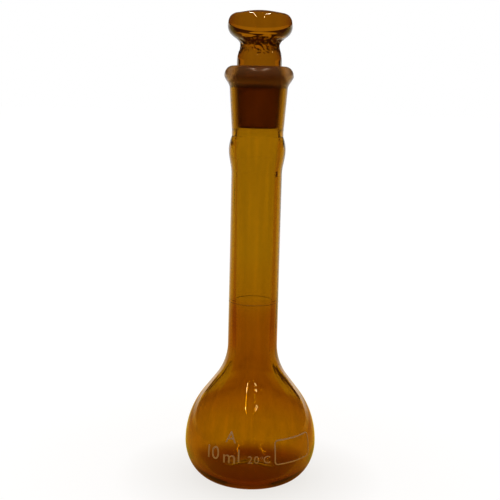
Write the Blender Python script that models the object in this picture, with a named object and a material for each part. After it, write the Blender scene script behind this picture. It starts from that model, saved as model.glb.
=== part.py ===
"""A 10 ml amber volumetric flask with a ground glass stopper.

The flask is blown from one tube: a pear-shaped bulb on a pushed-up base, and a long neck that swells just
below the mouth. A ground socket with a beaded rim is fused on at the swelling, and a one-piece stopper sits
in it. A fine enamel line rings the neck, at the height up to which the flask holds its nominal volume, and
small enamel marks are fired on to the front of the bulb.

Metres, +Z up. The origin is the centre of the ring that the base stands on, and the marks face -Y.
"""

import math

import bmesh
import bpy
from mathutils import Vector

MM = 0.001
SEGMENTS = 48  # flats round every turned piece, the same for all, so that nested pieces never touch

# Driving dimensions, in millimetres.
NOMINAL_VOLUME = 10_000.0  # cubic millimetres that the flask holds up to its line
FLASK_HEIGHT = 90.0
BULB_RADIUS = 14.4
BULB_EQUATOR = 8.3  # height of the widest part
BASE_RING_RADIUS = 7.8
PUNT_RADIUS = 6.5
PUNT_HEIGHT = 1.5
SHOULDER_RADIUS = 17.9  # arc of the bulb above its equator
SHOULDER_SLOPE = 37.4  # degrees from the axis, where the bulb runs straight towards the neck
THROAT_RADIUS = 12.1  # concave arc where the bulb turns into the neck
NECK_RADIUS_LOW = 5.37
NECK_RADIUS_HIGH = 5.41
NECK_TOP = 67.4
SWELL_RADIUS = 6.05
SWELL_HEIGHT = 72.5
SWELL_PULL = 1.1  # how far the curve above the swelling runs on upwards before it draws in
SEAM_HEIGHT = 75.35  # where the socket is fused to the neck
SEAM_RADIUS = 5.48
SEAM_PULL = (0.25, 0.6)  # how far out and below the seam that curve aims as it arrives
SEAM_GAP = 0.04

# Wall thickness at heights up the flask.
WALLS = (
    (0.0, 1.3),
    (4.0, 1.05),
    (9.0, 0.93),
    (17.0, 1.0),
    (27.0, 1.5),
    (32.0, 1.55),
    (42.0, 1.3),
    (52.0, 1.2),
    (66.0, 1.15),
    (72.5, 1.5),
    (75.35, 1.1),
)

# Ground joint, size 10/13: 10 mm across at the mouth, 13 mm long, and 1 in 10 on the diameter.
JOINT_RADIUS = 5.0
JOINT_LENGTH = 13.0
JOINT_TAPER = 0.05
JOINT_CLEARANCE = 0.03
SOCKET_FOOT = 1.0  # straight length above the seam
SOCKET_RADIUS_HIGH = 6.13
SOCKET_SHOULDER = 85.3  # height where the rim starts to flare from the socket
RIM_RADIUS = 7.3
RIM_MIDDLE = 88.0
FLARE_PULL = (1.1, 0.9)  # how far the flare runs on along the axis at its two ends
LIP_RADIUS = 5.4
LIP_DROP = 0.45  # how far the rounded lip falls from its crown to the mouth

# Stopper: a plug in the socket, then a collar, a waist and a domed head above it.
PLUG_SHORT = 0.2  # how much shorter the plug is than the bore
PLUG_EDGE = 0.4
MOUTH_DEPTH = 1.0  # how far below the rim the ground part of the plug ends
COLLAR_RADIUS = 4.71
COLLAR_HEIGHT = 91.2
WAIST_RADIUS = 4.03
WAIST_HEIGHT = 94.25
WAIST_PULL = 1.4
HEAD_RADIUS = 6.77
HEAD_MIDDLE = 98.3
HEAD_PULL = (1.45, 2.8)  # how far the underside of the head runs on along the axis at its two ends
HEAD_EDGE_WIDTH = 1.74  # rounded edge of the head, from its widest part inwards
HEAD_EDGE_TOP = 100.77
HEAD_EDGE_END = 82.2  # degrees up the rounded edge where the dome takes over, at the same slope
HEAD_TOP = 101.4
DOME_STEPS = 4

# Enamel line and marks.
LINE_WIDTH = 0.2
LINE_DEPTH = 0.06
LINE_PROUD = 0.02
ENAMEL_GAP = 0.02
ENAMEL_THICKNESS = 0.06

# Marks: name, letter, size, then the place of the centre as degrees from the front and height.
MARKS = (
    ("class_letter", "A", 3.4, -17.2, 13.2),
    ("capacity_one", "1", 4.0, -37.2, 9.4),
    ("capacity_zero", "0", 4.0, -30.4, 9.4),
    ("unit_m", "m", 4.0, -17.7, 9.0),
    ("unit_l", "l", 4.0, -9.5, 9.4),
    ("temperature_two", "2", 2.3, 0.0, 8.8),
    ("temperature_zero", "0", 2.3, 5.5, 8.8),
    ("temperature_degree", "o", 1.2, 9.8, 9.4),
    ("temperature_c", "C", 2.3, 14.3, 8.8),
)
FIELD_PLACE = (41.1, 10.1)
FIELD_HALF_WIDTH = 5.0
FIELD_HALF_HEIGHT = 2.7
FIELD_CORNER = 0.9
FIELD_STROKE = 0.3
LETTER_RESOLUTION = 3
BEND_GRID = 0.9  # spacing of the cuts that let a flat letter bend with the bulb
HALF = 0.5  # marks are drawn flat with a thickness of one, half of it to each side

SHARP_ANGLE = 35.0  # degrees between faces above which an edge stays sharp
MERGE_DISTANCE = 1e-5

AMBER_GLASS = ("amber_glass", (0.33, 0.13, 0.004), 0.03)
LINE_ENAMEL = ("line_enamel", (0.05, 0.018, 0.004), 0.4)
MARK_ENAMEL = ("mark_enamel", (0.72, 0.64, 0.56), 0.45)


def line(start, end, steps):
    """Points from start to end, without the last one."""
    return [
        (start[0] + (end[0] - start[0]) * i / steps, start[1] + (end[1] - start[1]) * i / steps)
        for i in range(steps)
    ]


def oval(centre, half_width, half_height, start, end, steps):
    """Points on an oval from one angle to another, in degrees from +r, without the last one."""
    points = []
    for i in range(steps):
        angle = math.radians(start + (end - start) * i / steps)
        points.append((centre[0] + half_width * math.cos(angle), centre[1] + half_height * math.sin(angle)))
    return points


def swell(start, end, steps):
    """Points from start to end that leave and arrive parallel to the axis, without the last one."""
    points = []
    for i in range(steps):
        share = i / steps
        eased = (1 - math.cos(math.pi * share)) / 2
        points.append((start[0] + (end[0] - start[0]) * eased, start[1] + (end[1] - start[1]) * share))
    return points


def curve(a, b, c, d, steps):
    """Points on a cubic Bezier curve, without the last one."""
    points = []
    for i in range(steps):
        t = i / steps
        k = ((1 - t) ** 3, 3 * t * (1 - t) ** 2, 3 * t * t * (1 - t), t**3)
        points.append(tuple(k[0] * a[n] + k[1] * b[n] + k[2] * c[n] + k[3] * d[n] for n in (0, 1)))
    return points


def wall_at(height):
    """Wall thickness at a height, eased between the stations in WALLS."""
    for (low, thin), (high, thick) in zip(WALLS, WALLS[1:]):
        if height <= high:
            share = max(0.0, (height - low) / (high - low))
            return thin + (thick - thin) * (1 - math.cos(math.pi * share)) / 2
    return WALLS[-1][1]


def bulb_outline():
    """Outside of the flask from the axis under the base to the seam, as (radius, height)."""
    slope = math.radians(SHOULDER_SLOPE)
    shoulder_centre = (BULB_RADIUS - SHOULDER_RADIUS, BULB_EQUATOR)
    cone_start = (
        shoulder_centre[0] + SHOULDER_RADIUS * math.cos(slope),
        shoulder_centre[1] + SHOULDER_RADIUS * math.sin(slope),
    )
    throat_foot = NECK_RADIUS_LOW + THROAT_RADIUS * (1 - math.cos(slope))
    cone_length = (cone_start[0] - throat_foot) / math.tan(slope)
    throat_height = cone_start[1] + cone_length + THROAT_RADIUS * math.sin(slope)
    throat_centre = (NECK_RADIUS_LOW + THROAT_RADIUS, throat_height)
    neck_foot = (NECK_RADIUS_LOW, throat_height)
    neck_top = (NECK_RADIUS_HIGH, NECK_TOP)
    punt = [
        (PUNT_RADIUS * i / 4, PUNT_HEIGHT * (1 + math.cos(math.pi * i / 4)) / 2)
        for i in range(4)
    ]
    points = punt + [(PUNT_RADIUS, 0.0)]
    points += oval((BASE_RING_RADIUS, BULB_EQUATOR), BULB_RADIUS - BASE_RING_RADIUS, BULB_EQUATOR, -90, 0, 9)
    points += oval(shoulder_centre, SHOULDER_RADIUS, SHOULDER_RADIUS, 0, SHOULDER_SLOPE, 6)
    points += line(cone_start, (throat_foot, cone_start[1] + cone_length), 2)
    points += oval(throat_centre, THROAT_RADIUS, THROAT_RADIUS, 180 + SHOULDER_SLOPE, 180, 6)
    points += line(neck_foot, neck_top, 3)
    points += swell(neck_top, (SWELL_RADIUS, SWELL_HEIGHT), 6)
    points += curve(
        (SWELL_RADIUS, SWELL_HEIGHT),
        (SWELL_RADIUS, SWELL_HEIGHT + SWELL_PULL),
        (SEAM_RADIUS + SEAM_PULL[0], SEAM_HEIGHT - SEAM_PULL[1]),
        (SEAM_RADIUS, SEAM_HEIGHT),
        4,
    )
    return points + [(SEAM_RADIUS, SEAM_HEIGHT)]


def inside_of(outline):
    """The inner wall: each point of an outline moved inwards, square to it, by the wall there."""
    inner = []
    for i, (radius, height) in enumerate(outline):
        before = outline[max(i - 1, 0)]
        after = outline[min(i + 1, len(outline) - 1)]
        run, rise = after[0] - before[0], after[1] - before[1]
        length = math.hypot(run, rise)
        wall = wall_at(height)
        inner.append((max(radius - wall * rise / length, 0.0), height + wall * run / length))
    inner[0] = (0.0, outline[0][1] + wall_at(0.0))
    inner[-1] = (inner[-1][0], outline[-1][1])
    return inner


def radius_at(outline, height):
    """Radius of an outline where it last rises through a height."""
    found = None
    for (r0, z0), (r1, z1) in zip(outline, outline[1:]):
        if z0 <= height < z1:
            found = r0 + (r1 - r0) * (height - z0) / (z1 - z0)
    return found


def volume_below(inner, level):
    """Volume held inside an inner wall that starts on the axis, up to a level."""
    total = 0.0
    for (r0, z0), (r1, z1) in zip(inner, inner[1:]):
        if z1 > level:
            r1 = r0 + (r1 - r0) * (level - z0) / (z1 - z0)
            z1 = level
        total += math.pi * (r0 * r0 + r0 * r1 + r1 * r1) / 3 * (z1 - z0)
        if z1 == level:
            break
    return total


def line_height(inner):
    """Height on the neck at which the flask holds its nominal volume."""
    low, high = BULB_EQUATOR, NECK_TOP
    for _ in range(40):
        middle = (low + high) / 2
        if volume_below(inner, middle) < NOMINAL_VOLUME:
            low = middle
        else:
            high = middle
    return low


def with_groove(outline, height):
    """The outline with the shallow groove that holds the enamel line cut into it."""
    half = LINE_WIDTH / 2 + ENAMEL_GAP
    radius = radius_at(outline, height)
    groove = [(radius, height - half), (radius - LINE_DEPTH, height - half)]
    groove += [(radius - LINE_DEPTH, height + half), (radius, height + half)]
    split = max(i for i, p in enumerate(outline) if p[1] < height)
    return outline[: split + 1] + groove + outline[split + 1 :]


def material(look):
    """A Principled material with a name, a colour and a roughness."""
    name, colour, roughness = look
    made = bpy.data.materials.get(name)
    if made is None:
        made = bpy.data.materials.new(name)
        made.use_nodes = True
        shader = made.node_tree.nodes["Principled BSDF"]
        shader.inputs["Base Color"].default_value = (*colour, 1.0)
        shader.inputs["Roughness"].default_value = roughness
        shader.inputs["Metallic"].default_value = 0.0
        made.diffuse_color = (*colour, 1.0)
    return made


def add_object(name, bm, look):
    """Turns a bmesh in millimetres into a named object with its normals out and its round faces smooth."""
    bmesh.ops.remove_doubles(bm, verts=bm.verts, dist=MERGE_DISTANCE)
    bmesh.ops.recalc_face_normals(bm, faces=bm.faces)
    bmesh.ops.scale(bm, vec=(MM, MM, MM), verts=bm.verts)
    mesh = bpy.data.meshes.new(name)
    bm.to_mesh(mesh)
    bm.free()
    mesh.materials.append(material(look))
    mesh.shade_smooth()
    mesh.set_sharp_from_angle(angle=math.radians(SHARP_ANGLE))
    made = bpy.data.objects.new(name, mesh)
    bpy.context.scene.collection.objects.link(made)
    return made


def turn(name, outline, look):
    """A turned piece. The outline is closed, or starts and ends on the axis."""
    bm = bmesh.new()
    corners = [bm.verts.new((radius, 0.0, height)) for radius, height in outline]
    edges = [bm.edges.new(pair) for pair in zip(corners, corners[1:])]
    if outline[0][0] > 0:
        edges.append(bm.edges.new((corners[-1], corners[0])))
    bmesh.ops.spin(
        bm,
        geom=corners + edges,
        cent=(0, 0, 0),
        axis=(0, 0, 1),
        angle=2 * math.pi,
        steps=SEGMENTS,
        use_merge=True,
    )
    return add_object(name, bm, look)


def make_flask_body(outline, inner, ring_height):
    """Bulb and neck, open at the top of the neck, where the socket is fused on."""
    return turn("flask_body", with_groove(outline, ring_height) + inner[::-1], AMBER_GLASS)


def make_graduation_ring(outline, ring_height):
    """The enamel line in its groove."""
    radius = radius_at(outline, ring_height)
    low, high = ring_height - LINE_WIDTH / 2, ring_height + LINE_WIDTH / 2
    bottom, top = radius - LINE_DEPTH + ENAMEL_GAP, radius + LINE_PROUD
    return turn("graduation_ring", [(bottom, low), (top, low), (top, high), (bottom, high)], LINE_ENAMEL)


def bore_radius(height):
    """Radius of the ground bore at a height."""
    return JOINT_RADIUS - JOINT_TAPER * (FLASK_HEIGHT - height)


def make_joint_socket(seam_bore):
    """The ground socket with its beaded rim."""
    foot = SEAM_HEIGHT + SEAM_GAP
    ground_end = FLASK_HEIGHT - JOINT_LENGTH
    outline = line((SEAM_RADIUS, foot), (SEAM_RADIUS, foot + SOCKET_FOOT), 2)
    outline += line((SEAM_RADIUS, foot + SOCKET_FOOT), (SOCKET_RADIUS_HIGH, SOCKET_SHOULDER), 4)
    outline += curve(
        (SOCKET_RADIUS_HIGH, SOCKET_SHOULDER),
        (SOCKET_RADIUS_HIGH, SOCKET_SHOULDER + FLARE_PULL[0]),
        (RIM_RADIUS, RIM_MIDDLE - FLARE_PULL[1]),
        (RIM_RADIUS, RIM_MIDDLE),
        7,
    )
    outline += oval((LIP_RADIUS, RIM_MIDDLE), RIM_RADIUS - LIP_RADIUS, FLASK_HEIGHT - RIM_MIDDLE, 0, 90, 6)
    mouth_height = FLASK_HEIGHT - LIP_DROP
    mouth_radius = bore_radius(mouth_height)
    outline += oval((LIP_RADIUS, mouth_height), LIP_RADIUS - mouth_radius, LIP_DROP, 90, 180, 5)
    outline += line((mouth_radius, mouth_height), (bore_radius(ground_end), ground_end), 4)
    outline += [(bore_radius(ground_end), ground_end), (seam_bore, foot)]
    return turn("joint_socket", outline, AMBER_GLASS)


def make_stopper():
    """Ground plug, drawn-in waist and domed round head, pressed in one piece."""
    plug_end = FLASK_HEIGHT - JOINT_LENGTH + PLUG_SHORT
    foot = bore_radius(plug_end + PLUG_EDGE) - JOINT_CLEARANCE
    ground_top = FLASK_HEIGHT - MOUTH_DEPTH
    top = bore_radius(ground_top) - JOINT_CLEARANCE
    outline = line((0.0, plug_end), (foot - PLUG_EDGE, plug_end), 2)
    outline += oval((foot - PLUG_EDGE, plug_end + PLUG_EDGE), PLUG_EDGE, PLUG_EDGE, -90, 0, 3)
    outline += line((foot, plug_end + PLUG_EDGE), (top, ground_top), 4)
    outline += swell((top, ground_top), (COLLAR_RADIUS, FLASK_HEIGHT), 3)
    outline += line((COLLAR_RADIUS, FLASK_HEIGHT), (COLLAR_RADIUS, COLLAR_HEIGHT), 1)
    outline += curve(
        (COLLAR_RADIUS, COLLAR_HEIGHT),
        (COLLAR_RADIUS, COLLAR_HEIGHT + WAIST_PULL),
        (WAIST_RADIUS, WAIST_HEIGHT - WAIST_PULL),
        (WAIST_RADIUS, WAIST_HEIGHT),
        6,
    )
    outline += curve(
        (WAIST_RADIUS, WAIST_HEIGHT),
        (WAIST_RADIUS, WAIST_HEIGHT + HEAD_PULL[0]),
        (HEAD_RADIUS, HEAD_MIDDLE - HEAD_PULL[1]),
        (HEAD_RADIUS, HEAD_MIDDLE),
        8,
    )
    edge = ((HEAD_RADIUS - HEAD_EDGE_WIDTH, HEAD_MIDDLE), HEAD_EDGE_WIDTH, HEAD_EDGE_TOP - HEAD_MIDDLE)
    outline += oval(*edge, 0, HEAD_EDGE_END, 6)
    dome_radius, dome_foot = oval(*edge, HEAD_EDGE_END, 90, 1)[0]
    for i in range(DOME_STEPS + 1):
        share = i / DOME_STEPS
        rise = (HEAD_TOP - dome_foot) * math.sin(math.pi / 2 * share)
        outline.append((dome_radius * (1 - share), dome_foot + rise))
    return turn("stopper", outline, AMBER_GLASS)


def on_bulb(outline, azimuth, height, proud):
    """The point at an azimuth (degrees from the front, towards +X) and height, standing proud of the bulb."""
    radius = radius_at(outline, height)
    step = 0.1
    run = radius_at(outline, height + step) - radius_at(outline, height - step)
    length = math.hypot(run, 2 * step)
    out = radius + proud * 2 * step / length
    angle = math.radians(azimuth)
    return Vector((out * math.sin(angle), -out * math.cos(angle), height - proud * run / length))


def lay_on_bulb(bm, outline, azimuth, height):
    """Bends a flat bmesh, drawn in x and y with its thickness in z from 0 to 1, on to the bulb."""
    per_mm = math.degrees(1 / radius_at(outline, height))
    for vert in bm.verts:
        proud = ENAMEL_GAP + ENAMEL_THICKNESS * vert.co.z
        vert.co = on_bulb(outline, azimuth + vert.co.x * per_mm, height + vert.co.y, proud)


def cut_to_bend(bm):
    """Cuts a flat bmesh along a grid in x and y, so that it can follow the bulb."""
    for axis in (0, 1):
        low = min(vert.co[axis] for vert in bm.verts)
        high = max(vert.co[axis] for vert in bm.verts)
        normal = Vector((axis == 0, axis == 1, 0))
        for i in range(1, int((high - low) / BEND_GRID) + 1):
            place = normal * (low + i * BEND_GRID)
            geometry = bm.verts[:] + bm.edges[:] + bm.faces[:]
            bmesh.ops.bisect_plane(bm, geom=geometry, plane_co=place, plane_no=normal)


def make_letter(name, letter, size, outline, azimuth, height):
    """One enamel letter or digit, centred at a place on the bulb."""
    text = bpy.data.curves.new(name + "_text", "FONT")
    text.body = letter
    text.size = size
    text.extrude = HALF
    text.resolution_u = LETTER_RESOLUTION
    text.align_x = "CENTER"
    text.align_y = "CENTER"
    guide = bpy.data.objects.new(name + "_guide", text)
    bpy.context.scene.collection.objects.link(guide)
    bpy.context.view_layer.update()
    flat = guide.to_mesh()
    bm = bmesh.new()
    bm.from_mesh(flat)
    guide.to_mesh_clear()
    bpy.data.objects.remove(guide)
    bmesh.ops.remove_doubles(bm, verts=bm.verts, dist=MERGE_DISTANCE)
    bmesh.ops.translate(bm, vec=(0, 0, HALF), verts=bm.verts)
    cut_to_bend(bm)
    bmesh.ops.triangulate(bm, faces=bm.faces)
    lay_on_bulb(bm, outline, azimuth, height)
    return add_object(name, bm, MARK_ENAMEL)


def rounded_rectangle(half_width, half_height, corner):
    """Points round a rectangle with rounded corners."""
    x, y = half_width - corner, half_height - corner
    points = oval((x, y), corner, corner, 0, 90, 4)
    points += line((x, half_height), (-x, half_height), 8)
    points += oval((-x, y), corner, corner, 90, 180, 4)
    points += line((-half_width, y), (-half_width, -y), 4)
    points += oval((-x, -y), corner, corner, 180, 270, 4)
    points += line((-x, -half_height), (x, -half_height), 8)
    points += oval((x, -y), corner, corner, 270, 360, 4)
    return points + line((half_width, -y), (half_width, y), 4)


def make_writing_field(outline):
    """The frame of a blank field to write in: a rounded rectangle drawn with one stroke."""
    outer = rounded_rectangle(FIELD_HALF_WIDTH, FIELD_HALF_HEIGHT, FIELD_CORNER)
    inner = rounded_rectangle(
        FIELD_HALF_WIDTH - FIELD_STROKE, FIELD_HALF_HEIGHT - FIELD_STROKE, FIELD_CORNER - FIELD_STROKE
    )
    bm = bmesh.new()
    loops = []
    for points, level in ((outer, 0.0), (outer, 1.0), (inner, 1.0), (inner, 0.0)):
        loops.append([bm.verts.new((x, y, level)) for x, y in points])
    for loop, beside in zip(loops, loops[1:] + loops[:1]):
        for i in range(len(loop)):
            bm.faces.new((loop[i - 1], loop[i], beside[i], beside[i - 1]))
    lay_on_bulb(bm, outline, *FIELD_PLACE)
    return add_object("writing_field", bm, MARK_ENAMEL)


def make_marks(outline):
    """Accuracy class, capacity and calibration temperature, and the field to write in at their right."""
    for name, letter, size, azimuth, height in MARKS:
        make_letter(name, letter, size, outline, azimuth, height)
    make_writing_field(outline)


def build():
    """The whole flask."""
    for leftover in list(bpy.data.objects):
        bpy.data.objects.remove(leftover)
    outline = bulb_outline()
    inner = inside_of(outline)
    ring_height = line_height(inner)
    make_flask_body(outline, inner, ring_height)
    make_graduation_ring(outline, ring_height)
    make_joint_socket(inner[-1][0])
    make_stopper()
    make_marks(outline)


build()
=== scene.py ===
"""Looks of the amber volumetric flask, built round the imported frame. Metres, +Z up, marks facing -Y."""

import math

import bmesh
import bpy
from mathutils import Matrix, Vector, noise


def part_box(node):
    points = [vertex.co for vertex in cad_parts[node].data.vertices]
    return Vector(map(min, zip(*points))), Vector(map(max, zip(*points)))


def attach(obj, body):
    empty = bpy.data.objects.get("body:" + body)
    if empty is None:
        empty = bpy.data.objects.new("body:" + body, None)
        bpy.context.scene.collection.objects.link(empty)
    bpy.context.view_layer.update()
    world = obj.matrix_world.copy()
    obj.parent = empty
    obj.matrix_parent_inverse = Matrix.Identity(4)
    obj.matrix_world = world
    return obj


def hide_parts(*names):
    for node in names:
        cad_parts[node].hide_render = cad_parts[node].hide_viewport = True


MM = 0.001
AROUND = 192  # segments round each turned piece
SHARP_ANGLE = 40  # degrees between faces from which an edge is drawn sharp

# ---------------------------------------------------------------------------------------------
# Driving dimensions in millimetres. Heights that the frame states are read from it below.
# ---------------------------------------------------------------------------------------------
BULB_EQUATOR = 8.3
BASE_RING_RADIUS = 7.8
PUNT_RADIUS = 6.5
PUNT_HEIGHT = 1.5
PUNT_STEPS = 16
SHOULDER_RADIUS = 17.9
SHOULDER_SLOPE = 37.4
THROAT_RADIUS = 12.1
NECK_RADIUS_LOW = 5.37
NECK_RADIUS_HIGH = 5.41
NECK_TOP = 67.4
SWELL_RADIUS = 6.05
SWELL_HEIGHT = 72.5
SWELL_PULL = 1.1
SEAM_RADIUS = 5.48
SEAM_PULL = (0.25, 0.6)
SEAM_CRACK = 0.004
WALLS = (
    (0.0, 1.3),
    (4.0, 1.05),
    (9.0, 0.93),
    (17.0, 1.0),
    (27.0, 1.5),
    (32.0, 1.55),
    (42.0, 1.3),
    (52.0, 1.2),
    (66.0, 1.15),
    (72.5, 1.5),
    (75.35, 1.1),
)

JOINT_RADIUS = 5.0
JOINT_LENGTH = 13.0
JOINT_TAPER = 0.05
JOINT_CLEARANCE = 0.03
SOCKET_RADIUS_HIGH = 6.13
SOCKET_SHOULDER = 85.3
SOCKET_STRAIGHT = 1.0
RIM_MIDDLE = 88.0
FLARE_PULL = (1.1, 0.9)
LIP_RADIUS = 5.4
LIP_DROP = 0.45

COLLAR_RADIUS = 4.71
COLLAR_HEIGHT = 91.2
WAIST_RADIUS = 4.03
WAIST_HEIGHT = 94.25
WAIST_PULL = 1.4
HEAD_MIDDLE = 98.3
HEAD_PULL = (1.45, 2.8)
HEAD_EDGE_WIDTH = 1.74
HEAD_EDGE_TOP = 100.77
HEAD_EDGE_END = 82.2  # degrees round the edge at which the dome takes over
DOME_STEPS = 40
PLUG_EDGE = 0.4
MOUTH_DEPTH = 1.0  # how far below the rim the ground part of the plug ends

CRINKLE_FOOT = (91.8, 93.0)  # heights between which the folds in the waist begin, and end
CRINKLE_TOP = (95.0, 95.9)
CRINKLE_RISE = 1.5  # how much higher the folds reach at the back
CRINKLE_BACK = (90, 140)  # degrees from the front between which they rise to that
CRINKLE_DEPTH = 0.42
CRINKLE_LEVEL = 0.6  # height of the folds' noise that leaves the surface where it was
FACET_LEFT = (-35, 5)  # degrees from the front between which the facets begin, and end
FACET_RIGHT = (120, 170)
FACET_LEAST = 0.35  # share of their depth that the facets keep elsewhere
FACET_STRETCH = 0.8
FACET_COARSE = (1.15, 2.2)  # pitch and weight of the noise that makes them
FACET_FINE = (2.1, 0.25)
FACET_SHIFT = (5, 3, 1)  # keeps the fine noise clear of the coarse
PLEAT_LEFT = (-170, -120)  # degrees from the front between which the pleats begin, and end
PLEAT_RIGHT = (-40, -15)
PLEAT_FOOT = (92.4, 93.2)  # and the heights
PLEAT_TOP = (94.6, 95.4)
PLEAT_DEPTH = 0.02
PLEAT_PITCH = 34
DENTS = (99.7, 100.1)  # heights between which the dents in the shoulder of the head begin
DENT_FADE = 0.5  # how far below the top of the head they start to fade out
DENT_DEPTH = 0.025
DENT_PITCH = 0.9

STREAKS_OUTSIDE = 0.012
STREAKS_INSIDE = 0.05
STREAKS_SEED = (0, 30)  # places in the noise for the outside and the inside
STREAKS_BROAD = (3.1, 0.03)  # pitch of the noise across and along the glass
STREAKS_FINE = (9.0, 0.05)
STREAKS_SHIFT = 7  # keeps the fine streaks clear of the broad ones
STREAKS_SHARE = 0.45  # depth of the fine streaks, as a share of the broad ones'
STREAKS_START = (4, 12)  # heights between which the streaks begin
STREAKS_FADE = 3  # and how far below the seam they start to fade out

# Enamel: the line, and the marks as name, text, size, degrees from the front and height.
LINE_WIDTH = 0.1
LINE_PROUD = 0.014
ENAMEL_GAP = 0.004
ENAMEL_PROUD = 0.05
MARKS = (
    ("class_letter", "A", 3.4, -17.2, 13.2),
    ("capacity_one", "1", 4.0, -37.2, 9.4),
    ("capacity_zero", "0", 4.0, -30.4, 9.4),
    ("unit_m", "m", 4.0, -17.7, 9.0),
    ("unit_l", "l", 4.0, -9.5, 9.4),
    ("temperature_two", "2", 2.3, 0.0, 8.8),
    ("temperature_zero", "0", 2.3, 5.5, 8.8),
    ("temperature_degree", "o", 1.2, 9.8, 9.4),
    ("temperature_c", "C", 2.3, 14.3, 8.8),
)
FIELD_PLACE = (41.1, 10.1)
FIELD_HALF = (5.0, 2.7)
FIELD_CORNER = 0.9
FIELD_STROKE = 0.26
LETTER_OFFSET = -0.02  # millimetres by which strokes are drawn finer than the lettering face
STROKE_GRID = 0.3  # spacing of the cuts that let a flat mark bend with the bulb

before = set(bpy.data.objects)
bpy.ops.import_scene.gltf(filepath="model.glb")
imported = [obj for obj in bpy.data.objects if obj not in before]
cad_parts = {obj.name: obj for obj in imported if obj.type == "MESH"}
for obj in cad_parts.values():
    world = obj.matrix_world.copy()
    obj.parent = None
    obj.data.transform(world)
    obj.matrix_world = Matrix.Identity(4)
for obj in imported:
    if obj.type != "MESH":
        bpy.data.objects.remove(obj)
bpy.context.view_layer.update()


def top_of(node):
    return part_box(node)[1].z / MM


def bottom_of(node):
    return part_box(node)[0].z / MM


BULB_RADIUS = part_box("flask_body")[1].x / MM
SOCKET_FOOT = bottom_of("joint_socket")
SEAM_HEIGHT = SOCKET_FOOT - SEAM_CRACK
FLASK_HEIGHT = top_of("joint_socket")
RIM_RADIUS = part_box("joint_socket")[1].x / MM
PLUG_END = bottom_of("stopper")
HEAD_TOP = top_of("stopper")
HEAD_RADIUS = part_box("stopper")[1].x / MM
LINE_HEIGHT = (top_of("graduation_ring") + bottom_of("graduation_ring")) / 2


# ---------------------------------------------------------------------------------------------
# Outlines, as (radius, height) points
# ---------------------------------------------------------------------------------------------
def line(start, end, steps):
    """Points from start to end, without the last one."""
    return [
        (start[0] + (end[0] - start[0]) * i / steps, start[1] + (end[1] - start[1]) * i / steps)
        for i in range(steps)
    ]


def oval(centre, half_width, half_height, start, end, steps):
    """Points on an oval from one angle to another, in degrees from +r, without the last one."""
    points = []
    for i in range(steps):
        angle = math.radians(start + (end - start) * i / steps)
        points.append((centre[0] + half_width * math.cos(angle), centre[1] + half_height * math.sin(angle)))
    return points


def swell(start, end, steps):
    """Points from start to end that leave and arrive parallel to the axis, without the last one."""
    points = []
    for i in range(steps):
        share = i / steps
        eased = (1 - math.cos(math.pi * share)) / 2
        points.append((start[0] + (end[0] - start[0]) * eased, start[1] + (end[1] - start[1]) * share))
    return points


def curve(a, b, c, d, steps):
    """Points on a cubic Bezier curve, without the last one."""
    points = []
    for i in range(steps):
        t = i / steps
        k = ((1 - t) ** 3, 3 * t * (1 - t) ** 2, 3 * t * t * (1 - t), t**3)
        points.append(tuple(k[0] * a[n] + k[1] * b[n] + k[2] * c[n] + k[3] * d[n] for n in (0, 1)))
    return points


def wall_at(height):
    """Wall thickness at a height, eased between the stations in WALLS."""
    for (low, thin), (high, thick) in zip(WALLS, WALLS[1:]):
        if height <= high:
            share = max(0.0, (height - low) / (high - low))
            return thin + (thick - thin) * (1 - math.cos(math.pi * share)) / 2
    return WALLS[-1][1]


def bulb_outline():
    """Outside of bulb and neck, from the axis under the base to the seam."""
    slope = math.radians(SHOULDER_SLOPE)
    shoulder_centre = (BULB_RADIUS - SHOULDER_RADIUS, BULB_EQUATOR)
    cone_start = (
        shoulder_centre[0] + SHOULDER_RADIUS * math.cos(slope),
        shoulder_centre[1] + SHOULDER_RADIUS * math.sin(slope),
    )
    throat_foot = NECK_RADIUS_LOW + THROAT_RADIUS * (1 - math.cos(slope))
    cone_length = (cone_start[0] - throat_foot) / math.tan(slope)
    throat_height = cone_start[1] + cone_length + THROAT_RADIUS * math.sin(slope)
    throat_centre = (NECK_RADIUS_LOW + THROAT_RADIUS, throat_height)
    neck_foot = (NECK_RADIUS_LOW, throat_centre[1])
    neck_top = (NECK_RADIUS_HIGH, NECK_TOP)
    points = []
    for i in range(PUNT_STEPS):
        rise = PUNT_HEIGHT * (1 + math.cos(math.pi * i / PUNT_STEPS)) / 2
        points.append((PUNT_RADIUS * i / PUNT_STEPS, rise))
    points += line((PUNT_RADIUS, 0.0), (BASE_RING_RADIUS, 0.0), 3)
    bulge = BULB_RADIUS - BASE_RING_RADIUS
    points += oval((BASE_RING_RADIUS, BULB_EQUATOR), bulge, BULB_EQUATOR, -90, 0, 36)
    points += oval(shoulder_centre, SHOULDER_RADIUS, SHOULDER_RADIUS, 0, SHOULDER_SLOPE, 26)
    points += line(cone_start, (throat_foot, cone_start[1] + cone_length), 8)
    points += oval(throat_centre, THROAT_RADIUS, THROAT_RADIUS, 180 + SHOULDER_SLOPE, 180, 24)
    points += line(neck_foot, neck_top, 60)
    points += swell(neck_top, (SWELL_RADIUS, SWELL_HEIGHT), 20)
    points += curve(
        (SWELL_RADIUS, SWELL_HEIGHT),
        (SWELL_RADIUS, SWELL_HEIGHT + SWELL_PULL),
        (SEAM_RADIUS + SEAM_PULL[0], SEAM_HEIGHT - SEAM_PULL[1]),
        (SEAM_RADIUS, SEAM_HEIGHT),
        16,
    )
    return points + [(SEAM_RADIUS, SEAM_HEIGHT)]


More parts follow.
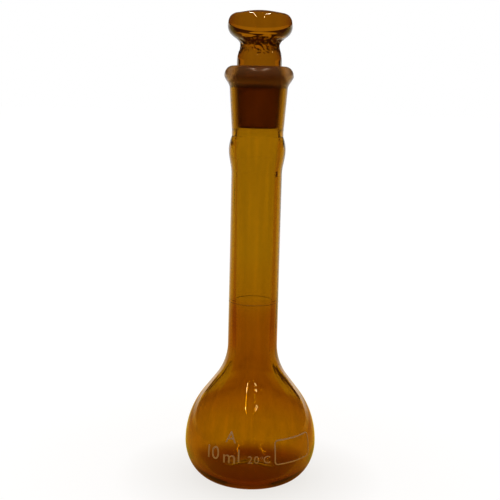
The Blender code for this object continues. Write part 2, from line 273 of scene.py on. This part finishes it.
def inside_of(outline):
    """The inner wall: each point of an outline moved inwards, square to it, by the wall there."""
    inner = []
    for i, (radius, height) in enumerate(outline):
        before = outline[max(i - 1, 0)]
        after = outline[min(i + 1, len(outline) - 1)]
        run, rise = after[0] - before[0], after[1] - before[1]
        length = math.hypot(run, rise)
        wall = wall_at(height)
        inner.append((max(radius - wall * rise / length, 0.0), height + wall * run / length))
    inner[0] = (0.0, outline[0][1] + wall_at(0.0))
    inner[-1] = (inner[-1][0], outline[-1][1])
    return inner


def radius_at(outline, height):
    """Radius of an outline where it last rises through a height."""
    found = None
    for (r0, z0), (r1, z1) in zip(outline, outline[1:]):
        if z0 <= height < z1:
            found = r0 + (r1 - r0) * (height - z0) / (z1 - z0)
    return found


def bore_radius(height):
    """Radius of the ground bore at a height."""
    return JOINT_RADIUS - JOINT_TAPER * (FLASK_HEIGHT - height)


def socket_outline(seam_bore):
    """Closed outline of the socket, up its outside, over the rim and down the ground bore, with the
    indices where the rim starts and where the bore starts and ends."""
    ground_end = FLASK_HEIGHT - JOINT_LENGTH
    straight_top = (SEAM_RADIUS, SOCKET_FOOT + SOCKET_STRAIGHT)
    outline = line((SEAM_RADIUS, SOCKET_FOOT), straight_top, 4)
    outline += line(straight_top, (SOCKET_RADIUS_HIGH, SOCKET_SHOULDER), 24)
    rim_start = len(outline)
    outline += curve(
        (SOCKET_RADIUS_HIGH, SOCKET_SHOULDER),
        (SOCKET_RADIUS_HIGH, SOCKET_SHOULDER + FLARE_PULL[0]),
        (RIM_RADIUS, RIM_MIDDLE - FLARE_PULL[1]),
        (RIM_RADIUS, RIM_MIDDLE),
        24,
    )
    lip = (RIM_RADIUS - LIP_RADIUS, FLASK_HEIGHT - RIM_MIDDLE)
    outline += oval((LIP_RADIUS, RIM_MIDDLE), *lip, 0, 90, 20)
    mouth_height = FLASK_HEIGHT - LIP_DROP
    mouth_radius = bore_radius(mouth_height)
    outline += oval((LIP_RADIUS, mouth_height), LIP_RADIUS - mouth_radius, LIP_DROP, 90, 180, 12)
    bore_start = len(outline)
    outline += line((mouth_radius, mouth_height), (bore_radius(ground_end), ground_end), 32)
    bore_end = len(outline)
    outline += [(bore_radius(ground_end), ground_end)]
    outline += [(seam_bore, SOCKET_FOOT)]
    return outline, rim_start, bore_start, bore_end


def stopper_outline():
    """Outline of the stopper from the axis under the plug to the top of the head, with the indices
    where its ground part starts and ends."""
    foot = bore_radius(PLUG_END + PLUG_EDGE) - JOINT_CLEARANCE
    outline = line((0.0, PLUG_END), (foot - PLUG_EDGE, PLUG_END), 10)
    outline += oval((foot - PLUG_EDGE, PLUG_END + PLUG_EDGE), PLUG_EDGE, PLUG_EDGE, -90, 0, 8)
    ground_start = len(outline)
    ground_top = FLASK_HEIGHT - MOUTH_DEPTH
    top = bore_radius(ground_top) - JOINT_CLEARANCE
    outline += line((foot, PLUG_END + PLUG_EDGE), (top, ground_top), 36)
    ground_end = len(outline)
    outline += swell((top, ground_top), (COLLAR_RADIUS, FLASK_HEIGHT), 10)
    outline += line((COLLAR_RADIUS, FLASK_HEIGHT), (COLLAR_RADIUS, COLLAR_HEIGHT), 6)
    outline += curve(
        (COLLAR_RADIUS, COLLAR_HEIGHT),
        (COLLAR_RADIUS, COLLAR_HEIGHT + WAIST_PULL),
        (WAIST_RADIUS, WAIST_HEIGHT - WAIST_PULL),
        (WAIST_RADIUS, WAIST_HEIGHT),
        44,
    )
    outline += curve(
        (WAIST_RADIUS, WAIST_HEIGHT),
        (WAIST_RADIUS, WAIST_HEIGHT + HEAD_PULL[0]),
        (HEAD_RADIUS, HEAD_MIDDLE - HEAD_PULL[1]),
        (HEAD_RADIUS, HEAD_MIDDLE),
        40,
    )
    edge = ((HEAD_RADIUS - HEAD_EDGE_WIDTH, HEAD_MIDDLE), HEAD_EDGE_WIDTH, HEAD_EDGE_TOP - HEAD_MIDDLE)
    outline += oval(*edge, 0, HEAD_EDGE_END, 24)
    dome_radius, dome_foot = oval(*edge, HEAD_EDGE_END, 90, 1)[0]
    for i in range(DOME_STEPS + 1):
        share = i / DOME_STEPS
        rise = (HEAD_TOP - dome_foot) * math.sin(math.pi / 2 * share)
        outline.append((dome_radius * (1 - share), dome_foot + rise))
    return outline, ground_start, ground_end


# ---------------------------------------------------------------------------------------------
# Unevenness of hand-worked glass, as shape functions for turn()
# ---------------------------------------------------------------------------------------------
def soft(value, start, end):
    """0 before start, 1 after end, eased between."""
    share = min(max((value - start) / (end - start), 0.0), 1.0)
    return share * share * (3 - 2 * share)


def from_front(angle):
    """Degrees of an angle from the front (-Y), towards +X, from -180 to 180."""
    return (math.degrees(angle) + 90 + 180) % 360 - 180


def drawn(height, angle, size, seed):
    """Faint streaks that run along drawn glass: radius change at an angle, slow along the height."""
    across, along = STREAKS_BROAD
    broad = Vector((math.cos(angle) * across, math.sin(angle) * across, height * along + seed))
    across, along = STREAKS_FINE
    along_glass = height * along + seed + STREAKS_SHIFT
    fine = Vector((math.cos(angle) * across, math.sin(angle) * across, along_glass))
    return size * (noise.noise(broad) + STREAKS_SHARE * noise.noise(fine))


def crinkle(radius, height, angle):
    """Folds pressed into the waist by the tongs: facets at the front right, fine pleats at the left."""
    where = from_front(angle)
    rise = CRINKLE_RISE * soft(abs(where), *CRINKLE_BACK)
    upright = soft(height, *CRINKLE_FOOT) * (1 - soft(height - rise, *CRINKLE_TOP))
    if upright == 0:
        return 0.0
    facets = FACET_LEAST + (1 - FACET_LEAST) * soft(where, *FACET_LEFT) * (1 - soft(where, *FACET_RIGHT))
    spot = Vector((math.cos(angle) * radius, math.sin(angle) * radius, height * FACET_STRETCH))
    pitch, weight = FACET_COARSE
    folds = 1 - weight * abs(noise.noise(spot * pitch))
    pitch, weight = FACET_FINE
    folds -= weight * abs(noise.noise(spot * pitch + Vector(FACET_SHIFT)))
    pleats = (1 - soft(where, *PLEAT_RIGHT)) * soft(where, *PLEAT_LEFT)
    pleats *= math.sin(math.radians(where) * PLEAT_PITCH)
    pleats *= soft(height, *PLEAT_FOOT) * (1 - soft(height, *PLEAT_TOP))
    return -upright * (CRINKLE_DEPTH * facets * (CRINKLE_LEVEL - folds) + PLEAT_DEPTH * pleats)


# ---------------------------------------------------------------------------------------------
# Mesh helpers
# ---------------------------------------------------------------------------------------------
# How far each point of a glass surface is stained, ground and hazy.
MASKS = ("stain", "ground", "haze")


def turn(name, outline, material, shape=None, finish=None):
    """A turned piece. shape(index, radius, height, angle) may give each point a radius and height of
    its own, and finish(index) gives the MASKS of each outline point, from 0 to 1."""
    bm = bmesh.new()
    layers = [bm.verts.layers.float.new(mask) for mask in MASKS]
    rings = []
    for index, (radius, height) in enumerate(outline):
        on_axis = radius < 1e-9
        ring = []
        for i in range(1 if on_axis else AROUND):
            angle = 2 * math.pi * i / AROUND
            r, z = shape(index, radius, height, angle) if shape and not on_axis else (radius, height)
            ring.append(bm.verts.new((r * math.cos(angle) * MM, r * math.sin(angle) * MM, z * MM)))
            for layer, value in zip(layers, finish(index) if finish else (0.0, 0.0, 0.0)):
                ring[-1][layer] = value
        rings.append(ring)
    pairs = list(zip(rings, rings[1:]))
    if len(rings[0]) > 1:
        pairs.append((rings[-1], rings[0]))
    for low, high in pairs:
        for i in range(AROUND):
            j = (i + 1) % AROUND
            if len(low) == 1:
                bm.faces.new((low[0], high[j], high[i]))
            elif len(high) == 1:
                bm.faces.new((low[i], low[j], high[0]))
            else:
                bm.faces.new((low[i], low[j], high[j], high[i]))
    bmesh.ops.recalc_face_normals(bm, faces=bm.faces)
    return finish_mesh(name, bm, [material])


def finish_mesh(name, bm, materials):
    mesh = bpy.data.meshes.new(name)
    bm.to_mesh(mesh)
    bm.free()
    for material in materials:
        mesh.materials.append(material)
    mesh.shade_smooth()
    mesh.set_sharp_from_angle(angle=math.radians(SHARP_ANGLE))
    made = bpy.data.objects.new(name, mesh)
    bpy.context.scene.collection.objects.link(made)
    return made


# ---------------------------------------------------------------------------------------------
# Materials
# ---------------------------------------------------------------------------------------------
GLASS_IOR = 1.473
FLASK_STAIN = (0.37, 0.152, 0.001)  # colour of light that has gone in and out through the stained surface
STOPPER_STAIN = (0.22, 0.07, 0.001)
SHEEN_TINT = (0.62, 0.4, 0.24)  # what the stain leaves of light reflected at the outer surface
STREAK_SCALE = 700  # streaks of paler and deeper stain, drawn out along the glass
STREAK_STRETCH = 0.04
STREAK_DEPTH = (0.3, 0.7, 0.84, 1.0)
GROUND_TINT = (0.45, 0.23, 0.09)
GROUND_ROUGHNESS = 0.24
GROUND_HAZE = 0.22  # share of light that glass with a haze of 1 scatters instead of passing
RIM_GROUND = 0.8
RIM_FADE = 5  # outline points over which the rim turns from clear to ground
BORE_HAZE = 0.1
GRAIN_SCALE = 9000
GRAIN_SHADES = (0.75, 1.15)  # darkest and brightest grain of the enamel, as shares of its colour
LINE_COLOUR = (0.16, 0.06, 0.008)
LINE_ROUGHNESS = 0.4
MARK_COLOUR = (0.5, 0.34, 0.22)
MARK_ROUGHNESS = 0.5
CLEAR = (1, 1, 1, 1)


def add(tree, kind, **values):
    """A new node, with its inputs' default values and its properties set by name."""
    node = tree.nodes.new("ShaderNode" + kind)
    for key, value in values.items():
        if key in node.inputs.keys():
            node.inputs[key].default_value = value
        else:
            setattr(node, key, value)
    return node


def amber_glass(name, stain):
    """Glass with an amber stain in its outer surface, frosted where it is ground."""
    made = bpy.data.materials.new(name)
    made.use_nodes = True
    tree = made.node_tree
    shader = tree.nodes["Principled BSDF"]
    shader.inputs["IOR"].default_value = GLASS_IOR
    masks = {}
    for mask in MASKS:
        masks[mask] = add(tree, "Attribute", attribute_name=mask).outputs["Fac"]
    rough = add(tree, "Math", operation="MULTIPLY")
    rough.inputs[1].default_value = GROUND_ROUGHNESS
    tree.links.new(masks["ground"], rough.inputs[0])
    tree.links.new(rough.outputs[0], shader.inputs["Roughness"])
    clear = add(tree, "Math", operation="MULTIPLY_ADD")
    clear.inputs[1].default_value = -GROUND_HAZE
    clear.inputs[2].default_value = 1.0
    tree.links.new(masks["haze"], clear.inputs[0])
    tree.links.new(clear.outputs[0], shader.inputs["Transmission Weight"])
    tint = add(tree, "Mix", data_type="RGBA")
    tint.inputs[6].default_value = CLEAR
    tint.inputs[7].default_value = (*stain, 1)
    tree.links.new(masks["stain"], tint.inputs[0])
    veil = add(tree, "Mix", data_type="RGBA")
    veil.inputs[7].default_value = (*GROUND_TINT, 1)
    tree.links.new(masks["haze"], veil.inputs[0])
    tree.links.new(tint.outputs[2], veil.inputs[6])
    sheen = add(tree, "Mix", data_type="RGBA")
    sheen.inputs[6].default_value = CLEAR
    sheen.inputs[7].default_value = (*SHEEN_TINT, 1)
    tree.links.new(masks["stain"], sheen.inputs[0])
    tree.links.new(sheen.outputs[2], shader.inputs["Specular Tint"])
    place = add(tree, "TexCoord")
    drawn_out = add(tree, "Mapping")
    drawn_out.inputs["Scale"].default_value = (1, 1, STREAK_STRETCH)
    streaks = add(tree, "TexNoise", Scale=STREAK_SCALE)
    depth = add(tree, "MapRange")
    for label, value in zip(("From Min", "From Max", "To Min", "To Max"), STREAK_DEPTH):
        depth.inputs[label].default_value = value
    streaky = add(tree, "VectorMath", operation="SCALE")
    tree.links.new(place.outputs["Object"], drawn_out.inputs["Vector"])
    tree.links.new(drawn_out.outputs["Vector"], streaks.inputs["Vector"])
    tree.links.new(streaks.outputs["Fac"], depth.inputs["Value"])
    tree.links.new(depth.outputs["Result"], streaky.inputs["Scale"])
    tree.links.new(veil.outputs[2], streaky.inputs[0])
    tree.links.new(streaky.outputs[0], shader.inputs["Base Color"])
    return made


def enamel(name, colour, roughness):
    """Fired-on enamel with a fine grain in its colour."""
    made = bpy.data.materials.new(name)
    made.use_nodes = True
    tree = made.node_tree
    shader = tree.nodes["Principled BSDF"]
    shader.inputs["Roughness"].default_value = roughness
    grain = add(tree, "TexNoise", Scale=GRAIN_SCALE)
    place = add(tree, "TexCoord")
    shades = add(tree, "ValToRGB")
    for element, shade in zip(shades.color_ramp.elements, GRAIN_SHADES):
        element.color = (*[min(part * shade, 1) for part in colour], 1)
    tree.links.new(place.outputs["Object"], grain.inputs["Vector"])
    tree.links.new(grain.outputs["Fac"], shades.inputs["Fac"])
    tree.links.new(shades.outputs["Color"], shader.inputs["Base Color"])
    return made


flask_glass = amber_glass("flask_glass", FLASK_STAIN)
stopper_glass = amber_glass("stopper_glass", STOPPER_STAIN)
line_enamel = enamel("line_enamel", LINE_COLOUR, LINE_ROUGHNESS)
mark_enamel = enamel("mark_enamel", MARK_COLOUR, MARK_ROUGHNESS)

# ---------------------------------------------------------------------------------------------
# Glass
# ---------------------------------------------------------------------------------------------
outline = bulb_outline()
inner = inside_of(outline)


def flask_shape(index, radius, height, angle):
    """Outside nearly true, inside streaky, both fading out at the base and the seam."""
    steady = soft(height, *STREAKS_START) * (1 - soft(height, SEAM_HEIGHT - STREAKS_FADE, SEAM_HEIGHT))
    if index < len(outline):
        change = min(drawn(height, angle, STREAKS_OUTSIDE, STREAKS_SEED[0]), 0.0)
    else:
        change = drawn(height, angle, STREAKS_INSIDE, STREAKS_SEED[1])
    return radius + change * steady, height


def stopper_shape(index, radius, height, angle):
    """Folds in the waist, and dents pressed into the shoulder of the head."""
    if index <= ground_end:
        return radius, height
    spot = Vector((math.cos(angle) * radius, math.sin(angle) * radius, height))
    dent = DENT_DEPTH * soft(height, *DENTS) * (1 - soft(height, HEAD_TOP - DENT_FADE, HEAD_TOP))
    dent *= 0.5 + noise.noise(spot * DENT_PITCH)
    return radius + crinkle(radius, height, angle) - dent, height - dent


def flask_finish(index):
    """Stained outside, clear inside."""
    return float(index < len(outline)), 0.0, 0.0


flask = turn("flask_glass", outline + inner[::-1], flask_glass, flask_shape, flask_finish)

socket_points, rim_start, bore_start, bore_end = socket_outline(inner[-1][0])


def socket_finish(index):
    """Stained outside, turning to ground on the rim, with a ground bore and a clear foot."""
    if bore_start <= index <= bore_end:
        return 0.0, 1.0, BORE_HAZE
    if rim_start <= index < bore_start:
        share = soft(index, rim_start, rim_start + RIM_FADE)
        return 1.0, RIM_GROUND * share, share
    return float(index < rim_start), 0.0, 0.0


socket = turn("socket_glass", socket_points, flask_glass, finish=socket_finish)
stopper_points, ground_start, ground_end = stopper_outline()


def stopper_finish(index):
    """Stained all over, and ground along the plug."""
    return (1.0, 1.0, BORE_HAZE) if ground_start <= index < ground_end else (1.0, 0.0, 0.0)


stopper = turn("stopper_glass", stopper_points, stopper_glass, stopper_shape, stopper_finish)

for piece, node, body in (
    (flask, "flask_body", "flask"),
    (socket, "joint_socket", "flask"),
    (stopper, "stopper", "stopper"),
):
    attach(piece, body)
    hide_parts(node)

# ---------------------------------------------------------------------------------------------
# Enamel line and marks
# ---------------------------------------------------------------------------------------------
line_radius = radius_at(outline, LINE_HEIGHT)
line_film = oval((line_radius + ENAMEL_GAP, LINE_HEIGHT), LINE_PROUD, LINE_WIDTH / 2, -90, 90, 8)
line_film += [(line_radius + ENAMEL_GAP, LINE_HEIGHT + LINE_WIDTH / 2)]
enamel_ring = turn("line_film", line_film, line_enamel)
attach(enamel_ring, "flask")
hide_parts("graduation_ring")


def on_bulb(azimuth, height, proud):
    """The point at an azimuth (degrees from the front, towards +X) and a height, proud of the bulb."""
    radius = radius_at(outline, height)
    step = 0.4
    run = radius_at(outline, height + step) - radius_at(outline, height - step)
    length = math.hypot(run, 2 * step)
    out = radius + proud * 2 * step / length
    angle = math.radians(azimuth)
    return Vector((out * math.sin(angle), -out * math.cos(angle), height - proud * run / length)) * MM


def lay_mark(node, bm, azimuth, height):
    """Cuts a flat bmesh, in millimetres with its thickness in z from 0 to 1, into small faces and
    bends it on to the bulb in place of a node."""
    for axis in (0, 1):
        low = min(vert.co[axis] for vert in bm.verts)
        high = max(vert.co[axis] for vert in bm.verts)
        normal = Vector((axis == 0, axis == 1, 0))
        for i in range(1, int((high - low) / STROKE_GRID) + 1):
            everything = bm.verts[:] + bm.edges[:] + bm.faces[:]
            cut = normal * (low + i * STROKE_GRID)
            bmesh.ops.bisect_plane(bm, geom=everything, plane_co=cut, plane_no=normal)
    per_mm = math.degrees(1 / radius_at(outline, height))
    for vert in bm.verts:
        proud = ENAMEL_GAP + ENAMEL_PROUD * vert.co.z
        vert.co = on_bulb(azimuth + vert.co.x * per_mm, height + vert.co.y, proud)
    made = finish_mesh(node + "_film", bm, [mark_enamel])
    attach(made, "flask")
    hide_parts(node)


def letter_mesh(text, size):
    """A flat bmesh of one character, centred, with its thickness in z from 0 to 1."""
    curve_data = bpy.data.curves.new("mark_text", "FONT")
    curve_data.body = text
    curve_data.size = size
    curve_data.extrude = 0.5
    curve_data.offset = LETTER_OFFSET
    curve_data.resolution_u = 8
    curve_data.align_x = "CENTER"
    curve_data.align_y = "CENTER"
    guide = bpy.data.objects.new("mark_guide", curve_data)
    bpy.context.scene.collection.objects.link(guide)
    bpy.context.view_layer.update()
    bm = bmesh.new()
    bm.from_mesh(guide.to_mesh())
    guide.to_mesh_clear()
    bpy.data.objects.remove(guide)
    bmesh.ops.remove_doubles(bm, verts=bm.verts, dist=1e-5)
    bmesh.ops.translate(bm, vec=(0, 0, 0.5), verts=bm.verts)
    return bm


def rounded_rectangle(half_width, half_height, corner):
    """Points round a rectangle with rounded corners."""
    x, y = half_width - corner, half_height - corner
    points = oval((x, y), corner, corner, 0, 90, 8)
    points += line((x, half_height), (-x, half_height), 4)
    points += oval((-x, y), corner, corner, 90, 180, 8)
    points += line((-half_width, y), (-half_width, -y), 4)
    points += oval((-x, -y), corner, corner, 180, 270, 8)
    points += line((-x, -half_height), (x, -half_height), 4)
    points += oval((x, -y), corner, corner, 270, 360, 8)
    return points + line((half_width, -y), (half_width, y), 4)


def frame_mesh():
    """A flat bmesh of the stroke round the writing field, with its thickness in z from 0 to 1."""
    width, height = FIELD_HALF
    outer = rounded_rectangle(width, height, FIELD_CORNER)
    hole = rounded_rectangle(width - FIELD_STROKE, height - FIELD_STROKE, FIELD_CORNER - FIELD_STROKE)
    bm = bmesh.new()
    loops = []
    for points, level in ((outer, 0.0), (outer, 1.0), (hole, 1.0), (hole, 0.0)):
        loops.append([bm.verts.new((x, y, level)) for x, y in points])
    for loop, beside in zip(loops, loops[1:] + loops[:1]):
        for i in range(len(loop)):
            bm.faces.new((loop[i - 1], loop[i], beside[i], beside[i - 1]))
    bmesh.ops.recalc_face_normals(bm, faces=bm.faces)
    return bm


for node, text, size, azimuth, height in MARKS:
    lay_mark(node, letter_mesh(text, size), azimuth, height)
lay_mark("writing_field", frame_mesh(), *FIELD_PLACE)

# ---------------------------------------------------------------------------------------------
# Stage, light and camera
# ---------------------------------------------------------------------------------------------
def ramp(tree, stops):
    """A colour ramp node with (place, colour) stops."""
    node = add(tree, "ValToRGB")
    elements = node.color_ramp.elements
    while len(elements) < len(stops):
        elements.new(0.5)
    for element, (place, colour) in zip(elements, stops):
        element.position = place
        element.color = (*colour, 1)
    return node


FLOOR_HALF = 2.5
FLOOR_DROP = 0.0001  # metres by which the floor lies below the base
FLOOR_COLOUR = (0.05, 0.05, 0.05)
FLOOR_ROUGHNESS = 0.7
PAINTED_SHADE_REACH = 0.3  # metres from the flask over which light through the amber glass tints the floor
# Painted light and shade that the floor sends into the glass, by the distance from the flask as a share of
# that reach: a dark painted shadow under the flask, then painted amber light and shadow standing in for
# what the amber glass casts, fading to white.
THROUGH_GLASS = (
    (0.025, (0.3, 0.1, 0.004)),
    (0.045, (0.45, 0.18, 0.01)),
    (0.07, (1.0, 0.82, 0.05)),
    (0.13, (0.96, 0.74, 0.08)),
    (0.21, (0.86, 0.56, 0.12)),
    (0.3, (0.62, 0.34, 0.08)),
    (0.41, (0.76, 0.46, 0.15)),
    (0.55, (0.93, 0.8, 0.4)),
    (0.9, (1, 1, 1)),
)
# And the colour that the camera sees there, with a faint shade round the base.
SEEN = ((0.025, (0.8, 0.78, 0.75)), (0.1, (0.96, 0.95, 0.94)), (0.3, (1, 1, 1)))
WHITE = (1.0, 1.0, 1.0)
SIDE_LIGHT = (0.76, 0.54, 0.08)  # warm light beside the flask
DUSK = (0.03, 0.027, 0.025)  # the unlit room
CEILING = (0.12, 0.06, 0.022)  # and what is over the backdrop
# Light round the flask, by the cosine of the direction from straight ahead.
ROOM = ((0.3, DUSK), (0.47, SIDE_LIGHT), (0.6, SIDE_LIGHT), (0.93, WHITE))
# Metres beyond the flask, seen from the camera, between which the lit sheet begins.
SHEET_FRONT = (-0.074, -0.029)
NEAR = (0.08, 0.2)  # metres from the flask over which the sheet at its sides stops being lit
NEAR_LIGHT = 0.6
DARK = 0.03  # what is left of the light outside the sheet

bm = bmesh.new()
bmesh.ops.create_grid(bm, x_segments=1, y_segments=1, size=FLOOR_HALF)
floor = finish_mesh("floor", bm, [])
floor.location = (0, 0, -FLOOR_DROP)
# The floor glows: its emission is painted light and shade. It is lit white beyond the flask, warmer and
# dimmer to the sides and dark in front, with the painted amber shadow round the flask for rays through the
# glass, and a faint painted shadow round the base for the camera.
floor_painted_light = bpy.data.materials.new("floor_painted_light")
floor_painted_light.use_nodes = True
tree = floor_painted_light.node_tree
floor_shader = tree.nodes["Principled BSDF"]
floor_shader.inputs["Roughness"].default_value = FLOOR_ROUGHNESS
floor_shader.inputs["Specular IOR Level"].default_value = 0.0
place = add(tree, "TexCoord")
away = add(tree, "VectorMath", operation="LENGTH")
share = add(tree, "Math", operation="DIVIDE")
share.inputs[1].default_value = PAINTED_SHADE_REACH
tree.links.new(place.outputs["Object"], away.inputs[0])
tree.links.new(away.outputs["Value"], share.inputs[0])
through = ramp(tree, THROUGH_GLASS)
seen = ramp(tree, SEEN)
tree.links.new(share.outputs[0], through.inputs["Fac"])
tree.links.new(share.outputs[0], seen.inputs["Fac"])


def soft_step(tree, source, start, end, low, high):
    """An output that goes softly from low to high as source goes from start to end."""
    node = add(tree, "MapRange", interpolation_type="SMOOTHSTEP")
    for label, value in (("From Min", start), ("From Max", end), ("To Min", low), ("To Max", high)):
        node.inputs[label].default_value = value
    tree.links.new(source, node.inputs["Value"])
    return node.outputs["Result"]


sides = add(tree, "SeparateXYZ")
from_flask = add(tree, "VectorTransform", vector_type="VECTOR", convert_from="WORLD", convert_to="CAMERA")
tree.links.new(place.outputs["Object"], from_flask.inputs[0])
bearing = add(tree, "VectorMath", operation="NORMALIZE")
ahead = add(tree, "SeparateXYZ")
nearby = add(tree, "Math", operation="MAXIMUM")
lit_across = ramp(tree, ROOM)
tree.links.new(from_flask.outputs[0], sides.inputs[0])
tree.links.new(from_flask.outputs[0], bearing.inputs[0])
tree.links.new(bearing.outputs[0], ahead.inputs[0])
tree.links.new(ahead.outputs["Z"], nearby.inputs[0])
tree.links.new(soft_step(tree, away.outputs["Value"], *NEAR, NEAR_LIGHT, 0.0), nearby.inputs[1])
tree.links.new(nearby.outputs[0], lit_across.inputs[0])
lit_along = add(tree, "Mix", data_type="RGBA", blend_type="MULTIPLY")
lit_along.inputs[0].default_value = 1.0
tree.links.new(lit_across.outputs[0], lit_along.inputs[6])
tree.links.new(soft_step(tree, sides.outputs["Z"], *SHEET_FRONT, DARK, 1.0), lit_along.inputs[7])
lit = add(tree, "Mix", data_type="RGBA", blend_type="MULTIPLY")
lit.inputs[0].default_value = 1.0
tree.links.new(through.outputs["Color"], lit.inputs[6])
tree.links.new(lit_along.outputs[2], lit.inputs[7])
path = add(tree, "LightPath")
either = add(tree, "Mix", data_type="RGBA")
tree.links.new(path.outputs["Is Camera Ray"], either.inputs[0])
tree.links.new(lit.outputs[2], either.inputs[6])
tree.links.new(seen.outputs["Color"], either.inputs[7])
tree.links.new(either.outputs[2], floor_shader.inputs["Emission Color"])
floor_shader.inputs["Emission Strength"].default_value = 1.0
floor_shader.inputs["Base Color"].default_value = (*FLOOR_COLOUR, 1)
floor.data.materials.append(floor_painted_light)


def area_light(name, place, aim, width, height, power):
    """A rectangular light at a place, facing another place."""
    data = bpy.data.lights.new(name, "AREA")
    data.shape = "RECTANGLE"
    data.size = width
    data.size_y = height
    data.energy = power
    made = bpy.data.objects.new(name, data)
    made.location = place
    made.rotation_euler = (Vector(aim) - Vector(place)).to_track_quat("-Z", "Y").to_euler()
    bpy.context.scene.collection.objects.link(made)


TUBE_SIDE = 0.21  # metres from the middle to each row of tubes overhead
TUBE_HEIGHT = 1.0
TUBE_WIDTH = 0.022
TUBE_POWER = 3.5  # watts for each metre of tube
TUBE_ENDS = ((-0.78, -0.66), (-0.63, -0.3), (-0.25, 0.1), (0.15, 0.5))  # along each row
for side in (-1, 1):
    for number, (start, end) in enumerate(TUBE_ENDS):
        middle = (start + end) / 2
        length = end - start
        place = (TUBE_SIDE * side, middle, TUBE_HEIGHT)
        below = (TUBE_SIDE * side, middle, 0)
        area_light(f"tube_{side}_{number}", place, below, TUBE_WIDTH, length, TUBE_POWER * length)

# The backdrop ends where the height of a direction, less HORIZON_SLOPE times its cosine from ahead,
# passes the values in HORIZON. As the same sum passes the first two values in GLOW, the backdrop
# grows brighter by the factor in the third.
HORIZON = (-0.262, -0.252)
HORIZON_SLOPE = 0.4
GLOW = (-0.325, -0.315, 1.5)
world = bpy.data.worlds.new("world")
bpy.context.scene.world = world
world.use_nodes = True
tree = world.node_tree
background = tree.nodes["Background"]
background.inputs["Strength"].default_value = 1.0
toward = add(tree, "TexCoord")
split = add(tree, "SeparateXYZ")
room = ramp(tree, ROOM)
tree.links.new(toward.outputs["Camera"], split.inputs[0])
tree.links.new(split.outputs["Z"], room.inputs[0])
upward = add(tree, "SeparateXYZ")
tree.links.new(toward.outputs["Generated"], upward.inputs[0])
sky = add(tree, "Mix", data_type="RGBA")
sky.inputs[7].default_value = (*CEILING, 1)
above = add(tree, "Math", operation="MULTIPLY_ADD")
above.inputs[1].default_value = -HORIZON_SLOPE
tree.links.new(split.outputs["Z"], above.inputs[0])
tree.links.new(upward.outputs["Z"], above.inputs[2])
tree.links.new(soft_step(tree, above.outputs[0], *HORIZON, 0.0, 1.0), sky.inputs[0])
glow = add(tree, "VectorMath", operation="SCALE")
tree.links.new(room.outputs[0], glow.inputs[0])
tree.links.new(soft_step(tree, above.outputs[0], *GLOW[:2], 1.0, GLOW[2]), glow.inputs["Scale"])
tree.links.new(glow.outputs[0], sky.inputs[6])
backdrop = add(tree, "Mix", data_type="RGBA")
backdrop.inputs[7].default_value = (*WHITE, 1)
direct = add(tree, "LightPath")
tree.links.new(direct.outputs["Is Camera Ray"], backdrop.inputs[0])
tree.links.new(sky.outputs[2], backdrop.inputs[6])
tree.links.new(backdrop.outputs[2], background.inputs["Color"])

CAMERA_PLACE = (-0.001028, -0.21, 0.087)  # close to the flask and level with its rim
CAMERA_PITCH = math.radians(9.755)
CAMERA_ROLL = math.radians(1.367)
CAMERA_LENS = 71.04
camera_data = bpy.data.cameras.new("camera")
camera_data.lens = CAMERA_LENS
camera_data.clip_start = 0.01
camera_data.clip_end = 20
camera = bpy.data.objects.new("camera", camera_data)
bpy.context.scene.collection.objects.link(camera)
bpy.context.scene.camera = camera
camera.matrix_world = (
    Matrix.Translation(CAMERA_PLACE)
    @ Matrix.Rotation(math.pi / 2 - CAMERA_PITCH, 4, "X")
    @ Matrix.Rotation(CAMERA_ROLL, 4, "Z")
)

scene = bpy.context.scene
scene.view_settings.view_transform = "Standard"
scene.cycles.max_bounces = 32
scene.cycles.transmission_bounces = 32
scene.cycles.transparent_max_bounces = 16
